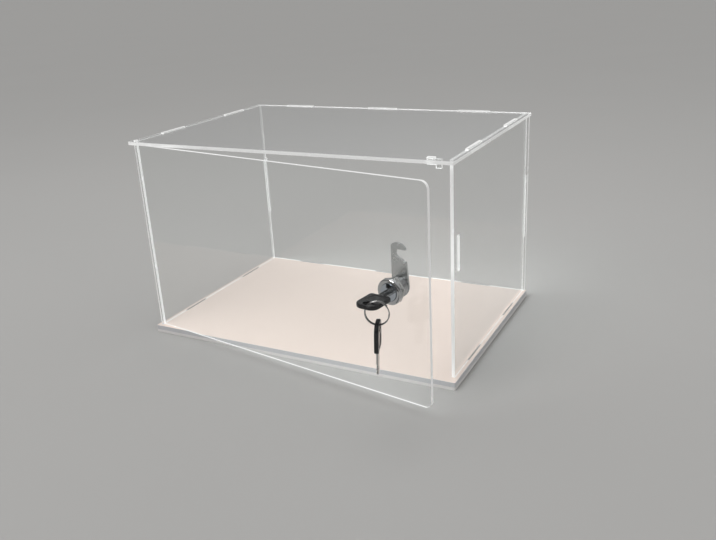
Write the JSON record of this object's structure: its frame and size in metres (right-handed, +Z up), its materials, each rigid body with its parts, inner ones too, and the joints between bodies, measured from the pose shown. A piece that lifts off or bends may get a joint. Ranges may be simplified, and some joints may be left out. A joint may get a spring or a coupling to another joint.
{
  "type": "lockable display case",
  "caption": "Clear acrylic display case on a white base, with a pivoting front door, a cam lock whose hook catches a slotted side wall, a key, a split ring and a spare key.",
  "frame": {"origin": "centre of the base's underside, where the case stands", "axes": "+X to the right and +Y to the back as seen by someone facing the door, +Z up"},
  "size_m": [0.33, 0.3039, 0.2008],
  "materials": {
    "white_sheet": "white acrylic sheet, glossy faces, laser-cut edges",
    "clear_sheet": "clear colourless acrylic sheet with brighter cut edges",
    "clear_door": "clear colourless acrylic sheet with brighter cut edges",
    "lock_chrome": "polished chrome plate",
    "plug_chrome": "polished chrome plate",
    "lock_steel": "zinc-plated steel",
    "cam_steel": "stamped zinc-plated steel, satin",
    "screw_steel": "zinc-plated steel",
    "wafer_brass": "plain stamped brass",
    "spring_steel": "bright spring wire",
    "key_steel": "nickel-plated brass blade",
    "key_plastic": "black moulded plastic, semi-gloss",
    "ring_steel": "hardened steel wire, dull nickel"
  },
  "bodies": {
    "case": {"base_bottom": "white_sheet", "base_deck": "white_sheet", "left_wall": "clear_sheet", "right_wall": "clear_sheet", "back_wall": "clear_sheet", "top_panel": "clear_sheet", "door_stop": "clear_sheet"},
    "door": {"door_panel": "clear_door", "lock_housing": "lock_chrome", "lock_washer": "lock_steel", "lock_nut": "lock_steel"},
    "plug": {"lock_plug": "plug_chrome", "wafer_1": "wafer_brass", "wafer_2": "wafer_brass", "wafer_3": "wafer_brass", "wafer_4": "wafer_brass", "wafer_springs": "spring_steel", "stop_washer": "lock_steel", "lock_cam": "cam_steel", "cam_washer": "lock_steel", "cam_screw": "screw_steel"},
    "key": {"key_blade": "key_steel", "key_head": "key_plastic"},
    "ring": {"key_ring": "ring_steel"},
    "spare_key": {"spare_key_blade": "key_steel", "spare_key_head": "key_plastic"}
  },
  "joints": [
    {"name": "door_hinge", "type": "hinge", "parent": "case", "child": "door", "pos_m": [-0.16, -0.10498, 0.1], "axis": [0, 0, 1], "range_deg": [-165.7, 9.3]},
    {"name": "lock_turn", "type": "hinge", "parent": "door", "child": "plug", "pos_m": [0.12816, -0.15217, 0.1042], "axis": [0.1616, 0.9869, 0], "range_deg": [0, 90]},
    {"name": "key_pull", "type": "slide", "parent": "plug", "child": "key", "axis": [-0.1616, -0.9869, 0], "range_m": [0, 0.03]},
    {"name": "ring_swing", "type": "hinge", "parent": "key", "child": "ring", "pos_m": [0.12286, -0.18454, 0.1042], "axis": [0.9755, 0.2198, 0], "range_deg": [-8, 12]},
    {"name": "spare_swing", "type": "hinge", "parent": "ring", "child": "spare_key", "pos_m": [0.12988, -0.18296, 0.08852], "axis": [0.9755, 0.2198, 0], "range_deg": [-45, 8]}
  ]
}
